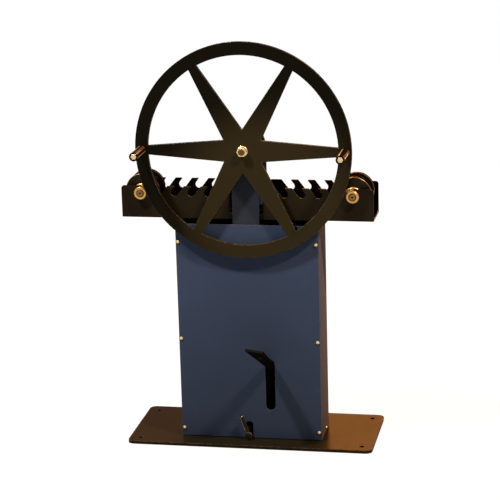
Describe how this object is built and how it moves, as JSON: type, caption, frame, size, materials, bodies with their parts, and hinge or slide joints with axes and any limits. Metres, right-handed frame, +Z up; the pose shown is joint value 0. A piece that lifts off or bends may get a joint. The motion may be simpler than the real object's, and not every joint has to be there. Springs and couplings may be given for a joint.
{
  "type": "ring roller",
  "caption": "Manual ring roller on a floor pedestal: handwheel with grips, a top die on its shaft and a slotted crossbar with two outer dies lifted by a jack.",
  "frame": {"origin": "middle of the base plate's underside, on the floor", "axes": "+X to the operator's right, +Y from the handwheel towards the back, +Z up"},
  "size_m": [0.718, 0.3737, 1.165],
  "materials": {
    "black_paint": "satin black machine enamel",
    "blue_paint": "satin dark blue enamel",
    "zinc_plate": "yellowish zinc plate",
    "bright_steel": "machined steel",
    "die_steel": "turned and oiled tool steel",
    "bronze": "sintered bronze",
    "black_plastic": "gloss black",
    "jack_paint": "black enamel, dull with oil"
  },
  "bodies": {
    "pedestal": {"base_plate": "black_paint", "housing_shell": "blue_paint", "front_panel": "blue_paint", "panel_screw_1": "zinc_plate", "panel_screw_2": "zinc_plate", "panel_screw_3": "zinc_plate", "panel_screw_4": "zinc_plate", "panel_screw_5": "zinc_plate", "panel_screw_6": "zinc_plate", "side_screw_left": "zinc_plate", "side_screw_right": "zinc_plate", "upright_front": "blue_paint", "upright_rear": "blue_paint", "guide_plate": "blue_paint", "bearing_sleeve_front": "blue_paint", "bearing_sleeve_rear": "blue_paint", "bearing_bush_front": "bronze", "bearing_bush_rear": "bronze", "jack_base": "jack_paint", "jack_tank": "jack_paint", "pump_body": "jack_paint", "return_spring": "bright_steel", "pedal_pivot_pin": "bright_steel"},
    "wheel_and_shaft": {"handwheel": "black_paint", "wheel_boss": "black_paint", "drive_shaft": "bright_steel", "drive_die": "die_steel", "wheel_key": "bright_steel", "die_key": "bright_steel", "drive_spacer_front": "bright_steel", "drive_spacer_rear": "bright_steel", "hub_nut": "zinc_plate", "rear_collar": "zinc_plate", "left_grip_washer": "zinc_plate", "right_grip_washer": "zinc_plate", "left_grip_bolt": "zinc_plate", "right_grip_bolt": "zinc_plate"},
    "crossbar": {"crossbar_front_plate": "black_paint", "crossbar_rear_plate": "black_paint", "crossbar_web": "black_paint", "lift_column": "black_paint", "jack_ram": "bright_steel", "left_axle": "bright_steel", "left_axle_collar_front": "zinc_plate", "left_axle_collar_rear": "zinc_plate", "left_axle_spacer_front": "zinc_plate", "left_axle_spacer_rear": "zinc_plate", "right_axle": "bright_steel", "right_axle_collar_front": "zinc_plate", "right_axle_collar_rear": "zinc_plate", "right_axle_spacer_front": "zinc_plate", "right_axle_spacer_rear": "zinc_plate"},
    "left_grip_sleeve": {"left_grip": "black_plastic"},
    "right_grip_sleeve": {"right_grip": "black_plastic"},
    "left_outer_die": {"left_die": "die_steel"},
    "right_outer_die": {"right_die": "die_steel"},
    "pedal": {"foot_pedal": "black_paint"},
    "pump_plunger": {"pump_piston": "bright_steel"},
    "release_valve": {"release_spindle": "bright_steel", "release_lever": "zinc_plate"}
  },
  "joints": [
    {"name": "wheel_turn", "type": "hinge", "parent": "pedestal", "child": "wheel_and_shaft", "pos_m": [0, -0.02, 0.86], "axis": [0, 1, 0], "continuous": true},
    {"name": "left_grip_spin", "type": "hinge", "parent": "wheel_and_shaft", "child": "left_grip_sleeve", "pos_m": [-0.2865, -0.15, 0.86], "axis": [0, 1, 0], "continuous": true},
    {"name": "right_grip_spin", "type": "hinge", "parent": "wheel_and_shaft", "child": "right_grip_sleeve", "pos_m": [0.2865, -0.15, 0.86], "axis": [0, 1, 0], "continuous": true},
    {"name": "crossbar_lift", "type": "slide", "parent": "pedestal", "child": "crossbar", "axis": [0, 0, 1], "range_m": [0, 0.12]},
    {"name": "left_die_spin", "type": "hinge", "parent": "crossbar", "child": "left_outer_die", "pos_m": [-0.3015, -0.02, 0.7298], "axis": [0, 1, 0], "continuous": true},
    {"name": "right_die_spin", "type": "hinge", "parent": "crossbar", "child": "right_outer_die", "pos_m": [0.3015, -0.02, 0.7298], "axis": [0, 1, 0], "continuous": true},
    {"name": "pedal_press", "type": "hinge", "parent": "pedestal", "child": "pedal", "pos_m": [0.0585, 0.021, 0.157], "axis": [1, 0, 0], "range_deg": [0, 55]},
    {"name": "pump_stroke", "type": "slide", "parent": "pedestal", "child": "pump_plunger", "axis": [0, 0, -1], "range_m": [0, 0.0295], "deforming": ["return_spring"]},
    {"name": "valve_turn", "type": "hinge", "parent": "pedestal", "child": "release_valve", "pos_m": [-0.0055, -0.1055, 0.026], "axis": [0, -1, 0], "range_deg": [0, 70]}
  ],
  "couplings": [
    {"joint": "pump_stroke", "follows": "pedal_press", "m_per_rad": 0.02863}
  ]
}
